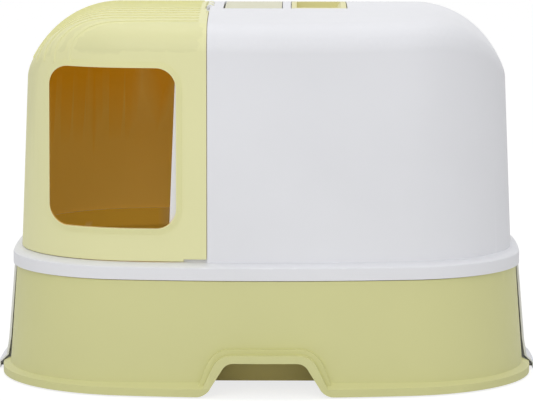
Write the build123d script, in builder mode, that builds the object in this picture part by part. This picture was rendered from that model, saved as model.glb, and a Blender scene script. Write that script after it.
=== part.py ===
"""Drawer litter box: a hood with a flip-up entry cover over a base with a pull-out tray.

Frame: +X is the right of the box as seen from its front, +Y is its back, +Z is up.
The origin is on the floor under the middle of the box. All lengths are millimetres.
"""

import os
from math import atan2, cos, degrees, hypot, radians, sin, sqrt, tan

from build123d import *

# ---------------------------------------------------------------- driving dimensions

# Shared walls and clearances
wall = 3.0
running_gap = 0.5
seat_gap = 0.3
pin_clearance = 0.05

# Plan outlines: bowed front and back, bowed sides and round corners, (front, side, corner) radii
body_bows = (1127.0, 1214.0, 136.0)
lip_bows = (928.0, 1020.0, 158.0)

# Base frame
foot_half_x = 290.0
foot_height = 7.0
foot_clear_z = 1.0
foot_ledge_width = 30.0
base_wall = 2.4
base_top_half_x = 271.0
base_top_half_y = 186.0
base_top_z = 119.6
base_waist_z = 33.0
base_waist_out = 7.4
flare_z = 15.0
flare_out = 10.5
front_split_y = -30.0
base_ring_depth = 20.0
base_ring_height = 4.0
ring_gap = 1.5
cheek_inner_x = 246.5
cheek_thickness = 3.5
cheek_front_y = -88.0
cheek_drop = 1.0
skid_width = 14.0
pillar_y = -15.0
pillar_thickness = 4.0

# Rim of the hood
rim_half_x = 271.5
rim_half_y = 187.0
rim_bottom_z = 120.0
rim_face_top_z = 133.0
rim_round = 2.0
rim_top_ledge = 0.5

# Hood walls, shoulders and crown
hood_foot_z = 137.5
hood_half_x = 262.3
hood_half_y = 178.0
hood_top_z = 393.0
wall_lean = 2.4
roof_flat_half_x = 160.5
roof_side_radius = 97.0
roof_edge_radius = 32.0
crown_radius = 980.0
crown_turn = 14.0
roof_profile_drop = 60.0
roof_wall_drop = 20.0
roof_edge_room = 50.0

# Seam between hood and entry cover
seam_x = -60.0
seam_gap = 0.8
lap_length_top = 30.0
lap_length_foot = 41.0
lap_wall = 2.4
lap_gap = 0.6
upstand_height = 12.0
cover_foot_gap = 0.8
lift_notch_width = 24.0
lift_notch_height = 2.4
web_length = 5.0
web_bite = 1.0

# Entrance in the cover
entry_left_x = -225.5
entry_right_x = -91.7
entry_bottom_z = 172.0
entry_top_z = 337.5
entry_corner = 21.0
entry_rim_width = 6.0
entry_rim_rise = 2.4
entry_rim_crest = 1.5
entry_rim_steps = 3

# Ribs on the cover's roof
rib_pitch = 15.0
rib_count = 19
rib_width = 2.2
rib_rise = 0.9
rib_seam_margin = 9.0
rib_lowest_z = 340.0

# Cover hinge
hinge_drop = 3.5
hinge_pin_radius = 1.5
knuckle_radius = 4.0
knuckle_gap = 0.6
knuckle_pitch = 16.0
knuckle_count = 5
knuckle_leaf = 9.0
leaf_drop = 1.0
hinge_relief = 2.4
hinge_relief_drop = 1.0
hinge_relief_half_y = 92.0
hinge_end_relief = 4.4
hinge_end_room = 20.0

# Wells in the roof
well_front_y = -56.0
well_back_y = 44.0
filter_well_left_x = -45.5
filter_well_right_x = 17.5
grip_well_left_x = 26.0
grip_well_right_x = 86.0
well_wall = 2.4
filter_well_depth = 22.0
vent_width = 4.0
vent_pitch = 9.0
vent_count = 5
vent_margin = 10.0
cap_gap = 0.9
cap_hinge_gap = 1.5
cap_thickness = 3.0
cap_edge_round = 2.0
cap_pin_radius = 1.0
cap_pin_length = 8.0
cap_pin_inset = 3.2
cap_pin_z = 389.3
cap_lug_drop = 2.6
cap_lug_rise = 0.5
cap_lug_inset = 0.8
pad_thickness = 10.0
pad_corner = 3.0
grip_depth = 30.0
grip_ramp = 18.0
grip_ledge = 3.5
grip_flange = 3.0
grip_drop = 2.0
ledge_thickness = 2.5

# Drawer front
apron_bottom_z = 1.5
apron_top_z = 119.2
apron_back_y = -18.0
apron_top_half_x = 267.6
apron_waist_z = 22.0
apron_waist_half_x = 274.8
apron_waist_half_y = 193.0
lip_half_x = 283.7
lip_half_y = 205.0
lip_face_top_z = 9.5
lip_shoulder_z = 15.0
lip_root = 2.0
notch_top_half_x = 40.0
notch_mid_half_x = 56.0
notch_mid_z = 11.0
notch_foot_half_x = 68.0
notch_top_z = 36.8
notch_top_round = 13.0
notch_side_round = 22.0
notch_band = 8.0
notch_step_width = 5.0
notch_step_depth = 3.5
notch_start_y = -150.0
notch_low_z = -10.0

# Drawer tray
tray_half_x = 232.0
tray_front_y = -143.0
tray_back_y = 150.0
tray_bottom_z = 8.0
tray_top_z = 100.0
tray_back_corner = 70.0
tray_front_corner = 40.0
tray_flange_half_x = 245.5
tray_flange_back_y = 105.0
deck_wide_y = -92.0

# Runners
runner_inner_x = 236.0
runner_thickness = 6.0
runner_back_y = 112.0
runner_lug_y = (15.0, 75.0)
runner_lug_width = 14.0

# Apron ribs and screws
apron_rib_x = (-165.0, -85.0, 85.0, 165.0)
apron_rib_width = 8.0
apron_rib_bottom_z = 24.0
screw_z = 62.0
screw_radius = 2.0
screw_length = 16.0
screw_head_radius = 4.2
screw_head_height = 2.2

# Foot pads
foot_pad_radius = 6.0
foot_pad_height = 4.0
back_pad_x = 180.0
back_pad_y = 169.0
front_pad_back = 8.0

# ---------------------------------------------------------------- outlines and shells

far = 400.0  # beyond every face of the box
over = 1.0  # how far a hollow or a cut runs past the face that it opens
near = 0.1  # how close to a height an edge lies to be picked there


def plan(half_x, half_y, bows=body_bows, inset=0.0):
    """The outline's face at z = 0: four bows and four corners, each tangent to the next."""
    half_x, half_y = half_x - inset, half_y - inset
    front, side, corner = (radius - inset for radius in bows)
    # a corner's centre is where it touches both bows from inside
    from_front, from_side = front - corner, side - corner
    base_x, base_y = half_x - side, half_y - front
    apart = hypot(base_x, base_y)
    along = (from_front**2 - from_side**2 + apart**2) / (2 * apart)
    across = sqrt(from_front**2 - along**2)
    unit_x, unit_y = base_x / apart, -base_y / apart
    centre_x = along * unit_x - across * unit_y
    centre_y = base_y + along * unit_y + across * unit_x
    if centre_x < 0:
        centre_x = along * unit_x + across * unit_y
        centre_y = base_y + along * unit_y - across * unit_x
    front_x = centre_x * front / from_front
    front_y = base_y + (centre_y - base_y) * front / from_front
    side_x = base_x + (centre_x - base_x) * side / from_side
    side_y = centre_y * side / from_side
    middle_turn = atan2(front_y + side_y - 2 * centre_y, front_x + side_x - 2 * centre_x)
    middle_x = centre_x + corner * cos(middle_turn)
    middle_y = centre_y + corner * sin(middle_turn)
    with BuildSketch() as outline:
        with BuildLine():
            ThreePointArc((-front_x, -front_y), (0, -half_y), (front_x, -front_y))
            ThreePointArc((front_x, -front_y), (middle_x, -middle_y), (side_x, -side_y))
            ThreePointArc((side_x, -side_y), (half_x, 0), (side_x, side_y))
            ThreePointArc((side_x, side_y), (middle_x, middle_y), (front_x, front_y))
            ThreePointArc((front_x, front_y), (0, half_y), (-front_x, front_y))
            ThreePointArc((-front_x, front_y), (-middle_x, middle_y), (-side_x, side_y))
            ThreePointArc((-side_x, side_y), (-half_x, 0), (-side_x, -side_y))
            ThreePointArc((-side_x, -side_y), (-middle_x, -middle_y), (-front_x, -front_y))
        make_face()
    return outline.sketch


def band(half_x, half_y, z_range, bows=body_bows, inset=0.0, lean=0.0):
    """An upright band of an outline between two heights, leaning inward by a whole distance."""
    height = z_range[1] - z_range[0]
    outline = Pos(0, 0, z_range[0]) * plan(half_x, half_y, bows, inset)
    return extrude(outline, amount=height, taper=degrees(atan2(lean, height)), mode=Mode.PRIVATE)


def block(x_range, y_range, z_range):
    """A plain box between three pairs of coordinates."""
    with BuildPart() as body:
        with BuildSketch(Plane.XY.offset(z_range[0])):
            with Locations(((x_range[0] + x_range[1]) / 2, (y_range[0] + y_range[1]) / 2)):
                Rectangle(x_range[1] - x_range[0], y_range[1] - y_range[0])
        extrude(amount=z_range[1] - z_range[0])
    return body.part


def roof_block(inset):
    """Everything under the roof: a flat line with dropping ends, turned about the crown's axis."""
    axis_z = hood_top_z - crown_radius
    reach = crown_radius - inset
    radius = roof_side_radius - inset
    end_x = roof_flat_half_x + radius
    low_z = axis_z + reach - radius - roof_profile_drop
    with BuildPart() as body:
        with BuildSketch(Plane.XZ):
            with BuildLine():
                Polyline((roof_flat_half_x, axis_z + reach), (0, axis_z + reach), (0, low_z), (end_x, low_z))
                Line((end_x, low_z), (end_x, axis_z + reach - radius))
                RadiusArc((roof_flat_half_x, axis_z + reach), (end_x, axis_z + reach - radius), radius)
            make_face()
        revolve(axis=Axis((0, 0, axis_z), (1, 0, 0)), revolution_arc=2 * crown_turn)
    half = body.part.rotate(Axis((0, 0, axis_z), (1, 0, 0)), -crown_turn)
    return half + half.mirror(Plane.YZ)


def hood_form(inset, foot_z):
    """The hood's closed, rounded form, moved in from its outer face by inset."""
    lean_rate = tan(radians(wall_lean))
    grow = (hood_foot_z - foot_z) * lean_rate
    over_z = hood_top_z + roof_wall_drop
    walls = band(hood_half_x + grow, hood_half_y + grow, (foot_z, over_z), inset=inset,
                 lean=(over_z - foot_z) * lean_rate)
    wall_top_z = hood_top_z - roof_side_radius - roof_wall_drop
    under_roof = roof_block(inset) + block((-far, far), (-far, far), (0, wall_top_z))
    form = walls & under_roof
    curved_edges = form.edges().filter_by(GeomType.BSPLINE)
    roof_edges = [edge for edge in curved_edges if edge.center().Z > foot_z + roof_edge_room]
    return form.fillet(roof_edge_radius - inset, roof_edges)


def slab(x_range, y_range, z_range, shell):
    """What a shell has inside one box."""
    return shell & block(x_range, y_range, z_range)


whole_y = (-far, far)
outer_form = hood_form(0, rim_face_top_z)
skin_form = hood_form(wall, rim_bottom_z - over)
lap_form = hood_form(wall + lap_gap, rim_face_top_z)
inner_form = hood_form(wall + lap_gap + lap_wall, rim_bottom_z - 2 * over)
skin = outer_form - skin_form
lap_ring = lap_form - inner_form
web_ring = hood_form(wall - web_bite, rim_face_top_z) - inner_form

# ---------------------------------------------------------------- hinge places

hinge_z = hood_top_z - hinge_drop
hinge_half_y = knuckle_count * knuckle_pitch / 2
knuckle_room = knuckle_radius + running_gap
knuckle_half = (knuckle_pitch - knuckle_gap) / 2
knuckle_middles = [(index - (knuckle_count - 1) / 2) * knuckle_pitch for index in range(knuckle_count)]
hood_knuckles = [(middle - knuckle_half, middle + knuckle_half) for middle in knuckle_middles[0::2]]
cover_knuckles = [(middle - knuckle_half, middle + knuckle_half) for middle in knuckle_middles[1::2]]


def rod(x, z, radius, y_range):
    """A round bar along Y."""
    with BuildPart() as body:
        with BuildSketch(Plane.XZ.offset(-y_range[1])):
            with Locations((x, z)):
                Circle(radius)
        extrude(amount=y_range[1] - y_range[0])
    return body.part


def knuckle(y_range, side):
    """A hinge knuckle with its leaf, on side -1 for the cover or 1 for the hood."""
    leaf_x = sorted((seam_x, seam_x + side * knuckle_leaf))
    leaf = block(leaf_x, y_range, (hinge_z - wall, hood_top_z - leaf_drop))
    barrel = rod(seam_x, hinge_z, knuckle_radius, y_range)
    return barrel + leaf - rod(seam_x, hinge_z, hinge_pin_radius + pin_clearance, y_range)


# ---------------------------------------------------------------- hood

rim_step = rim_half_x - hood_half_x
rim_form = (
    band(rim_half_x, rim_half_y, (rim_bottom_z, rim_face_top_z))
    + band(rim_half_x, rim_half_y, (rim_face_top_z, hood_foot_z), lean=rim_step - rim_top_ledge)
)
rim_hollow = band(rim_half_x, rim_half_y, (rim_bottom_z - over, rim_face_top_z - wall), inset=wall)
rim_edges = [edge for edge in rim_form.edges() if abs(edge.center().Z - rim_face_top_z) < near]
rim_shell = rim_form.fillet(rim_round, rim_edges) - rim_hollow - inner_form

with BuildSketch(Plane.XZ.offset(far)) as lap_outline:
    with BuildLine():
        Polyline(
            (seam_x + web_length, rim_bottom_z),
            (seam_x - lap_length_foot, rim_bottom_z),
            (seam_x - lap_length_top, hood_top_z),
            (seam_x + web_length, hood_top_z),
            close=True,
        )
    make_face()
lap_zone = extrude(lap_outline.sketch, amount=-2 * far)

filter_middle = ((filter_well_left_x + filter_well_right_x) / 2, (well_front_y + well_back_y) / 2)
grip_middle = ((grip_well_left_x + grip_well_right_x) / 2, (well_front_y + well_back_y) / 2)
filter_size = (filter_well_right_x - filter_well_left_x, well_back_y - well_front_y)
grip_size = (grip_well_right_x - grip_well_left_x, well_back_y - well_front_y)
well_outer_y = (well_front_y - well_wall, well_back_y + well_wall)
filter_floor_z = hood_top_z - filter_well_depth
grip_ledge_z = hood_top_z - grip_drop - grip_flange - seat_gap
filter_outer_x = (filter_well_left_x - well_wall, filter_well_right_x + well_wall)
grip_outer_x = (grip_well_left_x - well_wall, grip_well_right_x + well_wall)
filter_walls = block(filter_outer_x, well_outer_y, (filter_floor_z - well_wall, hood_top_z)) & outer_form
grip_walls = block(grip_outer_x, well_outer_y, (grip_ledge_z - ledge_thickness, hood_top_z)) & outer_form
cap_pin_x = filter_well_left_x + cap_hinge_gap + cap_pin_inset

with BuildPart() as hood:
    # wall and roof to the right of the seam, the web behind the seam and the rim all round
    add(slab((seam_x + seam_gap / 2, far), whole_y, (rim_face_top_z, far), skin))
    add(slab((seam_x + seam_gap / 2, seam_x + web_length), whole_y, (rim_face_top_z, far), web_ring))
    add(rim_shell)
    # lap sleeve behind the cover and the low upstand that the cover stands round
    add(lap_ring & lap_zone)
    add(slab((-far, seam_x), whole_y, (rim_face_top_z, hood_foot_z + upstand_height), lap_ring))
    # both wells in the roof
    add(filter_walls)
    add(grip_walls)
    with BuildSketch(Plane.XY.offset(filter_floor_z)):
        with Locations(filter_middle):
            Rectangle(*filter_size)
    extrude(amount=far, mode=Mode.SUBTRACT)
    with BuildSketch(Plane.XY.offset(filter_floor_z - well_wall)):
        with Locations(filter_middle):
            with GridLocations(vent_pitch, 0, vent_count, 1):
                SlotOverall(filter_size[1] - 2 * vent_margin, vent_width, rotation=90)
    extrude(amount=well_wall, mode=Mode.SUBTRACT)
    with BuildSketch(Plane.XY.offset(grip_ledge_z)):
        with Locations(grip_middle):
            Rectangle(*grip_size)
    extrude(amount=far, mode=Mode.SUBTRACT)
    with BuildSketch(Plane.XY.offset(grip_ledge_z - ledge_thickness - wall)):
        with Locations(grip_middle):
            Rectangle(grip_size[0] - 2 * grip_ledge, grip_size[1] - 2 * grip_ledge)
    extrude(amount=far, mode=Mode.SUBTRACT)
    # room for the cover's knuckles and leaves, then the hood's own knuckles
    window_x = (seam_x - lap_length_foot, seam_x + knuckle_room)
    add(block(window_x, (-hinge_half_y, hinge_half_y), (hinge_z - knuckle_leaf, far)), mode=Mode.SUBTRACT)
    for y_range in hood_knuckles:
        add(knuckle(y_range, 1))
    add(rod(cap_pin_x, cap_pin_z, cap_pin_radius + pin_clearance, well_outer_y), mode=Mode.SUBTRACT)
hood.part.label = "hood"

# ---------------------------------------------------------------- entry cover

cover_foot_z = hood_foot_z + cover_foot_gap
cover_x = (-far, seam_x - seam_gap / 2)


def entrance(grow):
    """The entrance as a prism through the front, grown outward on every side."""
    width = entry_right_x - entry_left_x + 2 * grow
    height = entry_top_z - entry_bottom_z + 2 * grow
    with BuildPart() as body:
        with BuildSketch(Plane.XZ):
            with Locations(((entry_left_x + entry_right_x) / 2, (entry_bottom_z + entry_top_z) / 2)):
                RectangleRounded(width, height, entry_corner + grow)
        extrude(amount=far)
    return body.part


with BuildPart() as rib_zone:
    with BuildSketch(Plane.XY.offset(rib_lowest_z)):
        with Locations(((seam_x - rib_seam_margin - far) / 2, 0)):
            with GridLocations(0, rib_pitch, 1, rib_count):
                Rectangle(far + seam_x - rib_seam_margin, rib_width)
    extrude(amount=far)
under_skin = hood_form(wall / 2, rim_bottom_z)
ribs = (hood_form(-rib_rise, rim_face_top_z) - under_skin) & rib_zone.part
entry_rim = []
for step in range(entry_rim_steps):
    share = (step + 1) / entry_rim_steps
    layer = hood_form(-entry_rim_rise * share, rim_face_top_z) - under_skin
    entry_rim.append(layer & entrance(entry_rim_width * (1 - share) + entry_rim_crest))

with BuildPart() as entry_cover:
    add(slab(cover_x, whole_y, (cover_foot_z, far), skin))
    # raised edge of the entrance, in layers that slope outward
    for layer in entry_rim:
        add(layer)
    add(entrance(0), mode=Mode.SUBTRACT)
    # ribs over the roof and down the left shoulder
    add(ribs)
    # lifting notch at the lower right corner
    notch_x = (seam_x - lift_notch_width, seam_x)
    add(block(notch_x, (-far, 0), (cover_foot_z, cover_foot_z + lift_notch_height)), mode=Mode.SUBTRACT)
    # room for the turn at the hinge, then the cover's knuckles
    relief_y = (-hinge_relief_half_y, hinge_relief_half_y)
    relief_z = (hinge_z - hinge_relief_drop, far)
    add(block((seam_x - hinge_relief, seam_x), relief_y, relief_z), mode=Mode.SUBTRACT)
    end_y = (-hinge_half_y - hinge_end_room, hinge_half_y + hinge_end_room)
    add(block((seam_x - hinge_end_relief, seam_x), end_y, relief_z), mode=Mode.SUBTRACT)
    for low, high in hood_knuckles:
        slot_y = (low - knuckle_gap, high + knuckle_gap)
        add(block((seam_x - knuckle_room, seam_x), slot_y, (hinge_z - knuckle_leaf, far)), mode=Mode.SUBTRACT)
    for y_range in cover_knuckles:
        add(knuckle(y_range, -1))
entry_cover.part.label = "entry_cover"

with BuildPart() as hinge_pin:
    with BuildSketch(Plane.XZ.offset(-hinge_half_y)):
        with Locations((seam_x, hinge_z)):
            Circle(hinge_pin_radius)
    extrude(amount=2 * hinge_half_y)
hinge_pin.part.label = "hinge_pin"

# ---------------------------------------------------------------- roof wells

cap_x = (filter_well_left_x + cap_hinge_gap, filter_well_right_x - cap_gap)
cap_y = (well_front_y + cap_gap, well_back_y - cap_gap)
cap_skin = outer_form - hood_form(cap_thickness, rim_bottom_z)
cap_lug_x = (cap_x[0] + cap_lug_inset, cap_pin_x + cap_pin_inset)
cap_lug_z = (cap_pin_z - cap_lug_drop, cap_pin_z + cap_lug_rise)
cap_lug_length = cap_pin_length - well_wall - cap_gap

with BuildPart() as filter_cap:
    add(slab(cap_x, cap_y, (0, far), cap_skin))
    hinge_side = filter_cap.faces().sort_by(Axis.X)[0]
    fillet(hinge_side.edges().sort_by(Axis.Z)[-1], radius=cap_edge_round)
    for lug_y in ((cap_y[0], cap_y[0] + cap_lug_length), (cap_y[1] - cap_lug_length, cap_y[1])):
        add(block(cap_lug_x, lug_y, cap_lug_z))
        add(rod(cap_pin_x, cap_pin_z, cap_pin_radius + pin_clearance, lug_y), mode=Mode.SUBTRACT)
filter_cap.part.label = "filter_cap"

with BuildPart() as cap_pins:
    for end_y in (well_outer_y[0] + cap_pin_length, well_outer_y[1]):
        with BuildSketch(Plane.XZ.offset(-end_y)):
            with Locations((cap_pin_x, cap_pin_z)):
                Circle(cap_pin_radius)
        extrude(amount=cap_pin_length)
cap_pins.part.label = "cap_pins"

with BuildPart() as charcoal_pad:
    with BuildSketch(Plane.XY.offset(filter_floor_z + seat_gap)):
        with Locations(filter_middle):
            RectangleRounded(filter_size[0] - 2 * running_gap, filter_size[1] - 2 * running_gap, pad_corner)
    extrude(amount=pad_thickness)
charcoal_pad.part.label = "charcoal_pad"

cup_x = (grip_well_left_x + cap_gap, grip_well_right_x - cap_gap)
cup_body_x = (grip_well_left_x + grip_ledge + running_gap, grip_well_right_x - grip_ledge - running_gap)
cup_body_y = (well_front_y + grip_ledge + running_gap, well_back_y - grip_ledge - running_gap)


def cup_profile(inset):
    """The grip's side view, an upright left wall and a sloping right wall, as a prism along Y."""
    with BuildPart() as body:
        with BuildSketch(Plane.XZ.offset(-cup_body_y[1] + inset)):
            with BuildLine():
                Polyline(
                    (cup_body_x[0] + inset, hood_top_z - grip_depth + inset),
                    (cup_body_x[1] - grip_ramp - inset, hood_top_z - grip_depth + inset),
                    (cup_body_x[1] - inset, hood_top_z),
                    (cup_body_x[0] + inset, hood_top_z),
                    close=True,
                )
            make_face()
        extrude(amount=cup_body_y[1] - cup_body_y[0] - 2 * inset)
    return body.part


with BuildPart() as grip_cup:
    add(block(cup_x, cap_y, (grip_ledge_z + seat_gap, hood_top_z)) & outer_form)
    add(cup_profile(0) & outer_form)
    add(cup_profile(well_wall), mode=Mode.SUBTRACT)
grip_cup.part.label = "grip_cup"

# ---------------------------------------------------------------- base frame

foot_out = foot_half_x - base_top_half_x


def base_bands(inset, end):
    """The base frame's outer form as a pile of bands, each an offset of the top's outline."""
    heights = (foot_clear_z - end, foot_height, flare_z, base_waist_z, base_top_z + end)
    outs = (foot_out, foot_out, flare_out, base_waist_out, 0.0)
    pile = None
    for index in range(len(heights) - 1):
        z_range = (heights[index], heights[index + 1])
        lean = outs[index] - outs[index + 1]
        piece = band(base_top_half_x, base_top_half_y, z_range, inset=inset - outs[index], lean=lean)
        pile = piece if pile is None else pile + piece
    return pile


base_outer = base_bands(0, 0)
base_inner = base_bands(base_wall, over)
apron_lean = apron_waist_half_x - apron_top_half_x
apron_top_half_y = apron_waist_half_y - apron_lean
ring_half_x = apron_top_half_x - wall - ring_gap
ring_half_y = apron_top_half_y - wall - ring_gap
ring_z = (base_top_z - base_ring_height, base_top_z)
ring_hole = band(ring_half_x, ring_half_y, ring_z, inset=base_ring_depth)
front_ring = band(ring_half_x, ring_half_y, ring_z) - ring_hole
back_ring = band(base_top_half_x, base_top_half_y, ring_z, inset=base_wall / 2) - ring_hole
foot_ledge_z = (foot_clear_z, foot_height)
foot_ledge_out = band(base_top_half_x, base_top_half_y, foot_ledge_z, inset=base_wall / 2 - foot_out)
foot_ledge_in = band(base_top_half_x, base_top_half_y, foot_ledge_z, inset=foot_ledge_width - foot_out)
foot_ledge = foot_ledge_out - foot_ledge_in
front_pad_y = cheek_front_y + front_pad_back
front_pad_x = cheek_inner_x + cheek_thickness - skid_width / 2
foot_pad_places = [
    (side * x, y) for side in (-1, 1) for x, y in ((front_pad_x, front_pad_y), (back_pad_x, back_pad_y))
]

with BuildPart() as base_frame:
    add(slab((-far, far), (front_split_y, far), (0, far), base_outer - base_inner))
    add(slab((-far, far), (-far, pillar_y), (0, far), front_ring))
    add(slab((-far, far), (pillar_y - over, far), (0, far), back_ring))
    add(slab((-far, far), (pillar_y, far), (0, far), foot_ledge))
    for side in (-1, 1):
        cheek_x = sorted((side * cheek_inner_x, side * (cheek_inner_x + cheek_thickness)))
        cheek_outer_x = cheek_inner_x + cheek_thickness
        skid_x = sorted((side * (cheek_outer_x - skid_width), side * cheek_outer_x))
        pillar_x = sorted((side * cheek_inner_x, side * far))
        pillar_end = pillar_y + pillar_thickness
        add(block(cheek_x, (cheek_front_y, pillar_end), (foot_clear_z, base_top_z - cheek_drop)))
        add(block(skid_x, (cheek_front_y, pillar_end + foot_ledge_width), (foot_clear_z, foot_height)))
        add(block(pillar_x, (pillar_y, pillar_end), (foot_clear_z, base_top_z)) & base_outer)
    with BuildSketch(Plane.XY.offset(foot_clear_z)):
        with Locations(*foot_pad_places):
            Circle(foot_pad_radius + pin_clearance)
    extrude(amount=foot_pad_height - foot_clear_z + seat_gap, mode=Mode.SUBTRACT)
base_frame.part.label = "base_frame"

with BuildPart() as foot_pads:
    with BuildSketch():
        with Locations(*foot_pad_places):
            Circle(foot_pad_radius)
    extrude(amount=foot_pad_height)
foot_pads.part.label = "foot_pads"

# ---------------------------------------------------------------- drawer

apron_rate = apron_lean / (apron_top_z - apron_waist_z)
apron_height = apron_top_z - apron_bottom_z


def apron_form(inset, end):
    """The leaning form of the apron, run on by a little at both ends."""
    low_out = -apron_rate * (apron_height + end)
    heights = (apron_bottom_z - end, apron_top_z + end)
    return band(apron_top_half_x, apron_top_half_y, heights, inset=inset + low_out,
                lean=apron_rate * (apron_height + 2 * end))


apron_outer = apron_form(0, 0)
apron_inner = apron_form(wall, over)
tray_floor_z = tray_bottom_z + wall
gusset_top_z = tray_top_z - wall - seat_gap


def lip_form(inset, top_drop):
    """The lip's outward form: an upright face under a sloping shoulder."""
    face_z = (apron_bottom_z, lip_face_top_z - top_drop)
    slope_z = (lip_face_top_z - top_drop, lip_shoulder_z - top_drop)
    face = band(lip_half_x, lip_half_y, face_z, lip_bows, inset)
    slope = band(lip_half_x, lip_half_y, slope_z, lip_bows, inset, lip_half_x - apron_waist_half_x + lip_root)
    return face + slope


def notch_profile(grow):
    """The hand notch seen from the front, grown outward and upward."""
    with BuildSketch(Plane.XZ.offset(-notch_start_y)) as profile:
        with BuildLine():
            Polyline(
                (-notch_foot_half_x - grow, notch_low_z),
                (-notch_mid_half_x - grow, notch_mid_z),
                (-notch_top_half_x - grow, notch_top_z + grow),
                (notch_top_half_x + grow, notch_top_z + grow),
                (notch_mid_half_x + grow, notch_mid_z),
                (notch_foot_half_x + grow, notch_low_z),
                close=True,
            )
        make_face()
        fillet(profile.vertices().group_by(Axis.Y)[-1], radius=notch_top_round + grow)
        bends = profile.vertices().filter_by_position(Axis.Y, notch_mid_z - near, notch_mid_z + near)
        fillet(bends, radius=notch_side_round)
    return profile.sketch


lip_upright = band(lip_half_x, lip_half_y, (apron_bottom_z, apron_top_z), lip_bows)
notch_hump = extrude(notch_profile(notch_band), amount=lip_half_y + notch_start_y)
notch_step_y = apron_waist_half_y + notch_step_depth
notch_hump_back = extrude(notch_profile(notch_band + notch_step_width), amount=notch_step_y + notch_start_y)
hump = ((notch_hump + notch_hump_back) & lip_upright) - apron_inner
front_half = block((-far, far), (-far, front_split_y - running_gap), (-over, far))
lip = (lip_form(0, 0) - apron_inner) & front_half
lip_hollow = lip_form(wall, wall) & front_half
hand_notch = extrude(notch_profile(0), amount=far)

with BuildPart() as gussets:
    with BuildSketch(Plane.XZ.offset(-tray_front_y + seat_gap)):
        with Locations(*[(x, (apron_rib_bottom_z + gusset_top_z) / 2) for x in apron_rib_x]):
            Rectangle(apron_rib_width, gusset_top_z - apron_rib_bottom_z)
    extrude(amount=far)
gusset_parts = gussets.part & apron_form(wall / 2, 0)

with BuildPart() as drawer_front:
    add((apron_outer - apron_inner) & block((-far, far), (-far, apron_back_y), (-over, far)))
    add(lip)
    add(lip_hollow, mode=Mode.SUBTRACT)
    add(hump & block((-far, far), (-far, 0), (apron_bottom_z, far)))
    add(gusset_parts)
    add(hand_notch, mode=Mode.SUBTRACT)
    with BuildSketch(Plane.XZ.offset(-tray_front_y)):
        with Locations(*[(x, screw_z) for x in apron_rib_x]):
            Circle(screw_radius + pin_clearance)
    extrude(amount=screw_length, mode=Mode.SUBTRACT)
drawer_front.part.label = "drawer_front"


def tray_outline(inset):
    """The tray's plan, with round corners."""
    with BuildSketch() as outline:
        with BuildLine():
            left, right = -tray_half_x + inset, tray_half_x - inset
            Polyline(
                (left, tray_front_y + inset),
                (right, tray_front_y + inset),
                (right, tray_back_y - inset),
                (left, tray_back_y - inset),
                close=True,
            )
        make_face()
        fillet(outline.vertices().group_by(Axis.Y)[0], radius=tray_front_corner - inset)
        fillet(outline.vertices().group_by(Axis.Y)[-1], radius=tray_back_corner - inset)
    return outline.sketch


flange_z = (tray_top_z - wall, tray_top_z)
deck_form = band(apron_top_half_x, apron_top_half_y, flange_z, inset=wall + seat_gap)
tray_outer = extrude(Pos(0, 0, tray_bottom_z) * tray_outline(0), amount=tray_top_z - tray_bottom_z)
tray_inner = extrude(Pos(0, 0, tray_floor_z) * tray_outline(wall), amount=far)
with BuildPart() as drawer_tray:
    add(tray_outer)
    add(slab((-far, far), (-far, deck_wide_y), flange_z, deck_form))
    add(block((-tray_flange_half_x, tray_flange_half_x), (deck_wide_y, tray_flange_back_y), flange_z))
    add(tray_inner, mode=Mode.SUBTRACT)
    with BuildSketch(Plane.XZ.offset(-tray_front_y - wall)):
        with Locations(*[(x, screw_z) for x in apron_rib_x]):
            Circle(screw_radius + pin_clearance)
    extrude(amount=wall, mode=Mode.SUBTRACT)
drawer_tray.part.label = "drawer_tray"

with BuildPart() as front_screws:
    with BuildSketch(Plane.XZ.offset(-tray_front_y - wall)):
        with Locations(*[(x, screw_z) for x in apron_rib_x]):
            Circle(screw_radius)
    extrude(amount=screw_length)
    with BuildSketch(Plane.XZ.offset(-tray_front_y - wall - screw_head_height)):
        with Locations(*[(x, screw_z) for x in apron_rib_x]):
            Circle(screw_head_radius)
    extrude(amount=screw_head_height)
front_screws.part.label = "front_screws"

# ---------------------------------------------------------------- runners

runner_z = (tray_top_z - wall - seat_gap - runner_thickness, tray_top_z - wall - seat_gap)
runner_room = base_bands(base_wall + seat_gap, over)
runners = []
for name, side in (("left_runner", -1), ("right_runner", 1)):
    rail_x = sorted((side * runner_inner_x, side * (cheek_inner_x - seat_gap)))
    lug_x = sorted((side * runner_inner_x, side * far))
    with BuildPart() as runner:
        add(block(rail_x, (cheek_front_y, runner_back_y), runner_z) & runner_room)
        for lug_y in runner_lug_y:
            add(block(lug_x, (lug_y, lug_y + runner_lug_width), runner_z) & runner_room)
    runner.part.label = name
    runners.append(runner)

# ---------------------------------------------------------------- export

os.makedirs("parts", exist_ok=True)
pieces = [
    hood, entry_cover, hinge_pin, filter_cap, cap_pins, charcoal_pad, grip_cup,
    base_frame, foot_pads, drawer_front, drawer_tray, front_screws, *runners,
]
for piece in pieces:
    export_step(piece.part, f"parts/{piece.part.label}.step")
    print(piece.part.label, len(piece.part.solids()), piece.part.is_valid, round(piece.part.volume))
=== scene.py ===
# %% [markdown]
# # A drawer litter box
# This lesson dresses an enclosed litter box: a white hood with a pale green-yellow entry cover, on a white
# base that holds a pull-out drawer. The hard shells are already built at their real size, so the work here
# is finish: moulded plastic with a fine grain, soft edges, a felt pad, and the studio around the box.

# %% Load the hard shells and note their size
from math import radians

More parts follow.
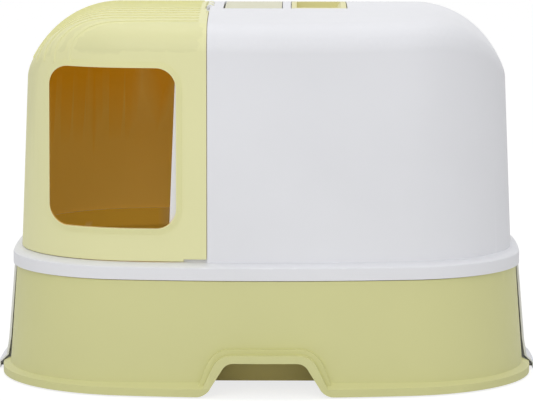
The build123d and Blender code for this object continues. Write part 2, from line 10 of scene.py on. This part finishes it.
import bmesh
import bpy
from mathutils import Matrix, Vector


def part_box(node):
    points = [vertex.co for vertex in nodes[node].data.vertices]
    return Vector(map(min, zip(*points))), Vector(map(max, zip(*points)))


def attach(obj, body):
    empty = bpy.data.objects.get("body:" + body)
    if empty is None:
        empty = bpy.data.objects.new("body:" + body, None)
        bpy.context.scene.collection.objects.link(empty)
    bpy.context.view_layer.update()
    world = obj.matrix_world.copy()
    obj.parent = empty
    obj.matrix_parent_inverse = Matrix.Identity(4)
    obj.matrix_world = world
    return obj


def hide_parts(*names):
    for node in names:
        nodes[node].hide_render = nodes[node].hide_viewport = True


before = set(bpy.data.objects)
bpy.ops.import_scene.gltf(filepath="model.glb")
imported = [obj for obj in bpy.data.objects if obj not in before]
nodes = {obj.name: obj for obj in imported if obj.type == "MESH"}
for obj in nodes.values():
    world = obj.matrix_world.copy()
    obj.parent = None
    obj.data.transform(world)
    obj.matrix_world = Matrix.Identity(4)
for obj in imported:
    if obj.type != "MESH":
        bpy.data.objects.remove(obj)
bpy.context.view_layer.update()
bpy.ops.object.select_all(action="DESELECT")

# %% [markdown]
# ## Moulded edges
# A mould can't make a knife edge, so every corner of a moulded shell is slightly round and catches a thin
# line of light. Each large shell is copied, its loose triangles are joined, flat areas are cleaned up, and a
# narrow bevel goes on all sharp edges. That is quicker than redrawing the shell and keeps its exact form.

# %% A helper that picks one object
def pick(piece):
    """Selects one object alone and makes it the active one."""
    bpy.ops.object.select_all(action="DESELECT")
    piece.select_set(True)
    bpy.context.view_layer.objects.active = piece


# %% [markdown]
# ## Round corners on the hand notch
# Fingers reach under the drawer through a notch, whose two lower corners are much rounder than a moulded
# edge. They could be redrawn, but a wide bevel on the few edges that run back from them does the same. Those
# edges are told by their place, their direction and their angle.

# %% Helpers for the notch's corners
SHARP_ANGLE = radians(32)
NOTCH_CORNER_X = (0.055, 0.080)
NOTCH_CORNER_TOP = 0.004
NOTCH_CORNER_ROUND = 0.009
NOTCH_CORNER_SEGMENTS = 6
MORE_BACK_THAN_ACROSS = 5


def notch_corner(edge):
    """True for the edges that run back from the hand notch's lower corners."""
    first, second = (vertex.co for vertex in edge.verts)
    beside = all(NOTCH_CORNER_X[0] < abs(end.x) < NOTCH_CORNER_X[1] for end in (first, second))
    low = max(first.z, second.z) < NOTCH_CORNER_TOP
    back = abs(second.y - first.y) > MORE_BACK_THAN_ACROSS * abs(second.x - first.x)
    return beside and low and back and edge.calc_face_angle(0) > SHARP_ANGLE


def round_corners(piece, corner):
    """In edit mode, rounds the edges that a test picks."""
    bpy.ops.mesh.select_mode(type="EDGE")
    bpy.ops.mesh.select_all(action="DESELECT")
    shape = bmesh.from_edit_mesh(piece.data)
    chosen = [edge for edge in shape.edges if corner(edge)]
    for edge in chosen:
        edge.select_set(True)
    bmesh.update_edit_mesh(piece.data)
    print("corner edges:", len(chosen))
    bpy.ops.mesh.bevel(offset=NOTCH_CORNER_ROUND, segments=NOTCH_CORNER_SEGMENTS, affect="EDGES")


# %% [markdown]
# ## The softened copy
# The copy keeps the node's form. A weighted normal modifier then lets the large faces set the shading, which
# takes out most of the streaks that the long thin triangles of a curved wall leave. A few faint ones stay.

# %% A function that makes a softened shell
MERGE_DISTANCE = 1e-6
FLAT_ANGLE = radians(0.2)
EDGE_SEGMENTS = 2


def softened(node, body, edge_width, corner=None):
    """A copy of a shell with joined faces and slightly round edges, riding on its body."""
    piece = nodes[node].copy()
    piece.data = nodes[node].data.copy()
    piece.name = piece.data.name = f"{node}_shell"
    piece.parent = None
    for key in list(piece.keys()):
        del piece[key]
    bpy.context.scene.collection.objects.link(piece)
    pick(piece)
    bpy.ops.object.mode_set(mode="EDIT")
    bpy.ops.mesh.select_all(action="SELECT")
    bpy.ops.mesh.customdata_custom_splitnormals_clear()
    bpy.ops.mesh.remove_doubles(threshold=MERGE_DISTANCE)
    bpy.ops.mesh.dissolve_limited(angle_limit=FLAT_ANGLE)
    if corner:
        round_corners(piece, corner)
    bpy.ops.object.mode_set(mode="OBJECT")
    bevel = piece.modifiers.new("moulded edge", "BEVEL")
    bevel.width = edge_width
    bevel.segments = EDGE_SEGMENTS
    bevel.limit_method = "ANGLE"
    bevel.angle_limit = SHARP_ANGLE
    bpy.ops.object.modifier_apply(modifier=bevel.name)
    bpy.ops.object.shade_smooth_by_angle(angle=SHARP_ANGLE)
    weigh = piece.modifiers.new("even shading", "WEIGHTED_NORMAL")
    weigh.keep_sharp = True
    bpy.ops.object.modifier_apply(modifier=weigh.name)
    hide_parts(node)
    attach(piece, body)
    print(piece.name, "faces:", len(piece.data.polygons))
    return piece


# %% Soften the large shells
FINE_EDGE = 0.0003
PLAIN_EDGE = 0.0004
FULL_EDGE = 0.0005

hood = softened("hood", "hood", PLAIN_EDGE)
cover = softened("entry_cover", "cover", FINE_EDGE)
base = softened("base_frame", "base", PLAIN_EDGE)
drawer_front = softened("drawer_front", "drawer", PLAIN_EDGE, notch_corner)
drawer_tray = softened("drawer_tray", "drawer", PLAIN_EDGE)
filter_cap = softened("filter_cap", "cap", FINE_EDGE)
grip_cup = softened("grip_cup", "hood", FULL_EDGE)

# %% [markdown]
# ## Moulded plastic
# The plastic of such a box is satin, with a very fine grain from the mould, a slightly uneven tone, and
# edges that rub a little lighter. Noise on the object's own coordinates gives the grain and the tone at real
# size, and Pointiness finds the worn edges. One function makes every plastic, so all of them match.

# %% Helpers that add nodes to a material
MID_NOISE = (0.3, 0.7)
WHOLE = (0, 1)


def noise(add, links, scale, detail, coordinates):
    """A noise texture on the given coordinates."""
    texture = add("ShaderNodeTexNoise")
    texture.inputs["Scale"].default_value = scale
    texture.inputs["Detail"].default_value = detail
    links.new(coordinates, texture.inputs["Vector"])
    return texture.outputs["Fac"]


def remap(add, links, value, source, target):
    """Moves a value from one range to another."""
    step = add("ShaderNodeMapRange")
    step.inputs["From Min"].default_value, step.inputs["From Max"].default_value = source
    step.inputs["To Min"].default_value, step.inputs["To Max"].default_value = target
    links.new(value, step.inputs["Value"])
    return step.outputs["Result"]


def mixed(add, links, factor, first, second):
    """Mixes two colours, each a value or a socket."""
    mix = add("ShaderNodeMix")
    mix.data_type = "RGBA"
    links.new(factor, mix.inputs["Factor"])
    for socket, colour in ((mix.inputs[6], first), (mix.inputs[7], second)):
        if isinstance(colour, tuple):
            socket.default_value = (*colour, 1.0)
        else:
            links.new(colour, socket)
    return mix.outputs[2]


def bumped(add, links, shader, height, strength, distance):
    """Gives the shader a bump from a height."""
    bump = add("ShaderNodeBump")
    bump.inputs["Strength"].default_value = strength
    bump.inputs["Distance"].default_value = distance
    links.new(height, bump.inputs["Height"])
    links.new(bump.outputs["Normal"], shader.inputs["Normal"])


# %% [markdown]
# ## Inner faces
# Seen through the entrance, the thin cover glows amber, because daylight passes through its wall. Real
# transmission through such a wall is noisy and slow, so that light is painted instead: the inner faces get a
# painted amber and a faint emission, at the price that they would also glow in a dark scene. They are the
# faces that look back at the middle of the shell, so a dot product tells them apart.

# %% A mask for the inner faces
LOOKS_BACK = (-0.40, -0.50)
ENTRY_SIDE_X = (-0.080, -0.125)


def inner_mask(add, links, place, centre, entry_side):
    """One on faces that look back at the centre; with entry_side, only at the entrance's end."""
    offset = add("ShaderNodeVectorMath")
    offset.operation = "SUBTRACT"
    offset.inputs[1].default_value = centre
    links.new(place.outputs["Object"], offset.inputs[0])
    unit = add("ShaderNodeVectorMath")
    unit.operation = "NORMALIZE"
    links.new(offset.outputs["Vector"], unit.inputs[0])
    facing = add("ShaderNodeVectorMath")
    facing.operation = "DOT_PRODUCT"
    links.new(unit.outputs["Vector"], facing.inputs[0])
    links.new(place.outputs["Normal"], facing.inputs[1])
    inner = remap(add, links, facing.outputs["Value"], LOOKS_BACK, WHOLE)
    if not entry_side:
        return inner
    apart = add("ShaderNodeSeparateXYZ")
    links.new(place.outputs["Object"], apart.inputs["Vector"])
    left = remap(add, links, apart.outputs["X"], ENTRY_SIDE_X, WHOLE)
    both = add("ShaderNodeMath")
    both.operation = "MULTIPLY"
    links.new(inner, both.inputs[0])
    links.new(left, both.inputs[1])
    return both.outputs["Value"]


# %% A function for satin moulded plastic
TONE_SCALE = 7.0
TONE_DETAIL = 3
TONE_LOW = 0.965
WALL_GLOW = 0.13
WORN_POINTINESS = (0.53, 0.62)
RUBBED_GAIN = 1.08
RUBBED_LIFT = 0.02
SCUFF_SCALE = 90.0
SCUFF_DETAIL = 4
SMOOTHER = 0.05
ROUGHER = 0.06
SATIN_SPECULAR = 0.4
GRAIN_SCALE = 1400.0
GRAIN_DETAIL = 2
GRAIN_DEPTH = 0.00006
GRAIN_STRENGTH = 0.35


def moulded(name, colour, painted_glow_colour=None, centre=(0, 0, 0), roughness=0.46, wear=0.5, entry_side=False):
    """Satin plastic with grain, uneven tone and rubbed edges, and a painted glow colour with a faint emission
    on its inner faces, for light through the wall.
    """
    material = bpy.data.materials.new(name)
    material.use_nodes = True
    add, links = material.node_tree.nodes.new, material.node_tree.links
    shader = material.node_tree.nodes["Principled BSDF"]
    place = add("ShaderNodeTexCoord")
    spot = place.outputs["Object"]
    low_tone = tuple(TONE_LOW * part for part in colour)
    tone = remap(add, links, noise(add, links, TONE_SCALE, TONE_DETAIL, spot), MID_NOISE, WHOLE)
    skin = mixed(add, links, tone, low_tone, colour)
    # Painted light: the inner faces take a painted amber colour and a faint glow in place of light through
    # the wall.
    if painted_glow_colour:
        inner = inner_mask(add, links, place, centre, entry_side)
        skin = mixed(add, links, inner, skin, painted_glow_colour)
        shader.inputs["Emission Color"].default_value = (*painted_glow_colour, 1.0)
        glow = remap(add, links, inner, WHOLE, (0, WALL_GLOW))
        links.new(glow, shader.inputs["Emission Strength"])
    geometry = add("ShaderNodeNewGeometry")
    edge = remap(add, links, geometry.outputs["Pointiness"], WORN_POINTINESS, (0, wear))
    rubbed = tuple(min(1.0, RUBBED_GAIN * part + RUBBED_LIFT) for part in colour)
    links.new(mixed(add, links, edge, skin, rubbed), shader.inputs["Base Color"])
    scuffs = noise(add, links, SCUFF_SCALE, SCUFF_DETAIL, spot)
    rough = remap(add, links, scuffs, MID_NOISE, (roughness - SMOOTHER, roughness + ROUGHER))
    links.new(rough, shader.inputs["Roughness"])
    shader.inputs["Specular IOR Level"].default_value = SATIN_SPECULAR
    grain = noise(add, links, GRAIN_SCALE, GRAIN_DETAIL, spot)
    bumped(add, links, shader, grain, GRAIN_STRENGTH, GRAIN_DEPTH)
    print("material:", name)
    return material


def finish_with(piece, material):
    """Gives a piece one material."""
    piece.data.materials.clear()
    piece.data.materials.append(material)


# %% [markdown]
# ## Colours of the plastics
# The hood and base are white. The cover is a pale green-yellow and the drawer the same family, painted deeper
# as a painted shade for the shade under the rim, with a tray whose own yellow is painted slightly warmer, a
# painted shade for the amber seen through the hand notch. The cap is painted paler, a painted reflection of
# the light that glances off its flat top. The cover's inner faces are painted amber with a faint glow, and so
# are the hood's own inner faces at the entrance's end: painted light for the light that comes through the
# cover and falls on them. Each piece gets its material by name, so that one colour can be changed without the
# others.

# %% Mix the plastics and put them on
WHITE = (0.83, 0.835, 0.87)
COVER_YELLOW = (0.77, 0.755, 0.41)
# Painted shade: the drawer's yellow is painted deeper than the cover's for the shade it sits in under the
# rim.
DRAWER_YELLOW_PAINTED_SHADE = (0.685, 0.675, 0.325)
# Partly painted shade: the tray's own yellow, made warmer as a painted shade for the amber seen through the
# hand notch.
TRAY_YELLOW_PAINTED_SHADE = (0.78, 0.66, 0.22)
# Painted reflection: the cap's yellow is painted paler for the light that glances off its flat top.
CAP_YELLOW_PAINTED_REFLECTION = (0.70, 0.685, 0.51)
GRIP_YELLOW = (0.78, 0.74, 0.39)
# Painted light: amber colours for the inner faces, with a faint glow, in place of light through the cover.
COVER_INNER_PAINTED_GLOW = (0.90, 0.46, 0.015)
HOOD_INNER_PAINTED_GLOW = (0.85, 0.52, 0.06)
COVER_MIDDLE = (-0.158, 0, 0.25)
HOOD_MIDDLE = (0, 0, 0.25)

finish_with(base, moulded("base satin plastic", WHITE))
finish_with(cover, moulded("cover satin plastic", COVER_YELLOW, COVER_INNER_PAINTED_GLOW, COVER_MIDDLE))
finish_with(drawer_front, moulded("drawer satin plastic", DRAWER_YELLOW_PAINTED_SHADE))
finish_with(drawer_tray, moulded("tray satin plastic", TRAY_YELLOW_PAINTED_SHADE))
finish_with(filter_cap, moulded("cap satin plastic", CAP_YELLOW_PAINTED_REFLECTION))
finish_with(grip_cup, moulded("grip satin plastic", GRIP_YELLOW))
finish_with(hood, moulded("hood satin plastic", WHITE, HOOD_INNER_PAINTED_GLOW, HOOD_MIDDLE, entry_side=True))
runner_plastic = moulded("runner satin plastic", WHITE, roughness=0.38, wear=0.2)
for name in ("left_runner", "right_runner"):
    finish_with(nodes[name], runner_plastic)

# %% [markdown]
# ## Metal and rubber
# The pins and screws are plain steel, brushed along their length by the machine that made them. The feet are
# soft black rubber with a dusty bloom. Both are small, so their shells keep their own meshes.

# %% Brushed steel and rubber
PART_DETAIL = 4
PART_DARKER = 0.8
PART_SPREAD = 0.08
PART_BUMP = 0.4


def small_part(name, colour, metallic, roughness, scale, depth):
    """A finish for small parts: tone and roughness from stretched noise, and a fine bump."""
    material = bpy.data.materials.new(name)
    material.use_nodes = True
    add, links = material.node_tree.nodes.new, material.node_tree.links
    shader = material.node_tree.nodes["Principled BSDF"]
    place = add("ShaderNodeTexCoord")
    stretch = add("ShaderNodeMapping")
    stretch.inputs["Scale"].default_value = scale
    links.new(place.outputs["Object"], stretch.inputs["Vector"])
    grain = noise(add, links, 1.0, PART_DETAIL, stretch.outputs["Vector"])
    dark = tuple(PART_DARKER * part for part in colour)
    links.new(mixed(add, links, grain, dark, colour), shader.inputs["Base Color"])
    rough = remap(add, links, grain, MID_NOISE, (roughness - PART_SPREAD, roughness + PART_SPREAD))
    links.new(rough, shader.inputs["Roughness"])
    shader.inputs["Metallic"].default_value = metallic
    bumped(add, links, shader, grain, PART_BUMP, depth)
    print("material:", name)
    return material


steel = small_part("brushed steel", (0.56, 0.56, 0.57), 1.0, 0.32, (2500, 120, 2500), 0.00002)
rubber = small_part("black rubber", (0.045, 0.045, 0.045), 0.0, 0.75, (900, 900, 900), 0.00008)
for name in ("hinge_pin", "cap_pins", "front_screws"):
    finish_with(nodes[name], steel)
finish_with(nodes["foot_pads"], rubber)

# %% [markdown]
# ## The charcoal pad
# Under the filter cap lies a pad of charcoal felt: a soft slab, crowned a little, with rounded edges. A cube
# is stretched to the pad's room, its edges are rounded, its faces divided, and its top lifted in the middle.

# %% Model the felt pad
PAD_CROWN = 0.0012
PAD_EDGE = 0.0022
PAD_EDGE_SEGMENTS = 4
PAD_CUTS = 12

pad_low, pad_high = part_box("charcoal_pad")
pad_size, pad_middle = pad_high - pad_low, (pad_low + pad_high) / 2
bpy.ops.object.select_all(action="DESELECT")
bpy.ops.mesh.primitive_cube_add(size=1, location=pad_middle)
pad = bpy.context.active_object
pad.name = pad.data.name = "charcoal_felt_pad"
pad.scale = (pad_size.x, pad_size.y, pad_size.z - PAD_CROWN)
bpy.ops.object.transform_apply(location=True, rotation=True, scale=True)
soft_edge = pad.modifiers.new("soft edge", "BEVEL")
soft_edge.width = PAD_EDGE
soft_edge.segments = PAD_EDGE_SEGMENTS
bpy.ops.object.modifier_apply(modifier=soft_edge.name)
bpy.ops.object.mode_set(mode="EDIT")
bpy.ops.mesh.select_all(action="SELECT")
bpy.ops.mesh.subdivide(number_cuts=PAD_CUTS)
bpy.ops.object.mode_set(mode="OBJECT")
for vertex in pad.data.vertices:
    across = min(1.0, abs(vertex.co.x - pad_middle.x) / (pad_size.x / 2))
    along = min(1.0, abs(vertex.co.y - pad_middle.y) / (pad_size.y / 2))
    if vertex.co.z > pad_middle.z:
        vertex.co.z += PAD_CROWN / 2 * (1 - across**2) * (1 - along**2)
pick(pad)
bpy.ops.object.shade_smooth()
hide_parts("charcoal_pad")
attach(pad, "hood")
print("pad faces:", len(pad.data.polygons))

# %% Felt for the pad
felt = small_part("charcoal felt", (0.035, 0.035, 0.036), 0.0, 0.9, (1300, 1300, 1300), 0.0004)
finish_with(pad, felt)

# %% [markdown]
# ## Studio
# The box stands on a plain white floor in soft light: a large panel in front and above, a weaker one
# overhead, and an even surround. The camera sees part of the floor as a glow, which keeps it nearly white
# and still lets it take a soft shadow.

# %% Floor
FLOOR_SIZE = 30
PAPER_WHITE = (0.82, 0.82, 0.82, 1)
PAPER_ROUGHNESS = 0.9
FLOOR_GLOW = 1.3
GLOW_SHARE = 0.6

bpy.ops.object.select_all(action="DESELECT")
bpy.ops.mesh.primitive_plane_add(size=FLOOR_SIZE, location=(0, 0, 0))
floor = bpy.context.active_object
floor.name = "studio_floor"
paper = bpy.data.materials.new("white studio paper")
paper.use_nodes = True
tree = paper.node_tree
shader = tree.nodes["Principled BSDF"]
shader.inputs["Base Color"].default_value = PAPER_WHITE
shader.inputs["Roughness"].default_value = PAPER_ROUGHNESS
glow = tree.nodes.new("ShaderNodeEmission")
glow.inputs["Strength"].default_value = FLOOR_GLOW
ray = tree.nodes.new("ShaderNodeLightPath")
share = tree.nodes.new("ShaderNodeMath")
share.operation = "MULTIPLY"
share.inputs[1].default_value = GLOW_SHARE
tree.links.new(ray.outputs["Is Camera Ray"], share.inputs[0])
blend = tree.nodes.new("ShaderNodeMixShader")
tree.links.new(share.outputs["Value"], blend.inputs["Fac"])
tree.links.new(shader.outputs["BSDF"], blend.inputs[1])
tree.links.new(glow.outputs["Emission"], blend.inputs[2])
tree.links.new(blend.outputs["Shader"], tree.nodes["Material Output"].inputs["Surface"])
finish_with(floor, paper)
print("floor laid")

# %% Surround
SURROUND_LEVEL = 0.62

world = bpy.data.worlds.new("studio surround")
bpy.context.scene.world = world
world.use_nodes = True
tree = world.node_tree
backdrop = tree.nodes["Background"]
ray = tree.nodes.new("ShaderNodeLightPath")
seen = tree.nodes.new("ShaderNodeMath")
seen.operation = "MAXIMUM"
tree.links.new(ray.outputs["Is Camera Ray"], seen.inputs[0])
tree.links.new(ray.outputs["Is Glossy Ray"], seen.inputs[1])
level = tree.nodes.new("ShaderNodeMapRange")
level.inputs["To Min"].default_value = SURROUND_LEVEL
level.inputs["To Max"].default_value = 1.0
tree.links.new(seen.outputs["Value"], level.inputs["Value"])
backdrop.inputs["Color"].default_value = (1, 1, 1, 1)
tree.links.new(level.outputs["Result"], backdrop.inputs["Strength"])
print("surround set")


# %% Soft panels
def panel(name, place, turn, size, power):
    """A large soft lamp."""
    lamp = bpy.data.lights.new(name, "AREA")
    lamp.shape, lamp.size, lamp.size_y = "RECTANGLE", *size
    lamp.energy = power
    holder = bpy.data.objects.new(name, lamp)
    holder.location = place
    holder.rotation_euler = [radians(angle) for angle in turn]
    bpy.context.scene.collection.objects.link(holder)


panel("front_panel", (-0.5, -2.6, 1.9), (58, 0, -10), (2.2, 1.6), 21)
panel("top_panel", (0, 0.1, 2.4), (0, 0, 0), (2.0, 1.6), 12)
print("studio ready")

# %% [markdown]
# ## Camera
# The view is from far away with a long lens, a little above the box, looking slightly down and hardly turned,
# so the front looks almost flat and both ends of the box show almost the same. A short lens would bulge it.

# %% Camera
CAMERA_PLACE = (0.0313, -3.405, 0.6215)
CAMERA_PITCH = 7.4
CAMERA_TURN = 0.53
LENS = 214.1
SENSOR_WIDTH = 36

camera_data = bpy.data.cameras.new("camera")
camera_data.lens = LENS
camera_data.sensor_width = SENSOR_WIDTH
camera = bpy.data.objects.new("camera", camera_data)
camera.location = CAMERA_PLACE
camera.rotation_euler = (radians(90 - CAMERA_PITCH), 0, radians(CAMERA_TURN))
bpy.context.scene.collection.objects.link(camera)
bpy.context.scene.camera = camera
bpy.context.scene.view_settings.view_transform = "Standard"
print("camera at", CAMERA_PLACE)
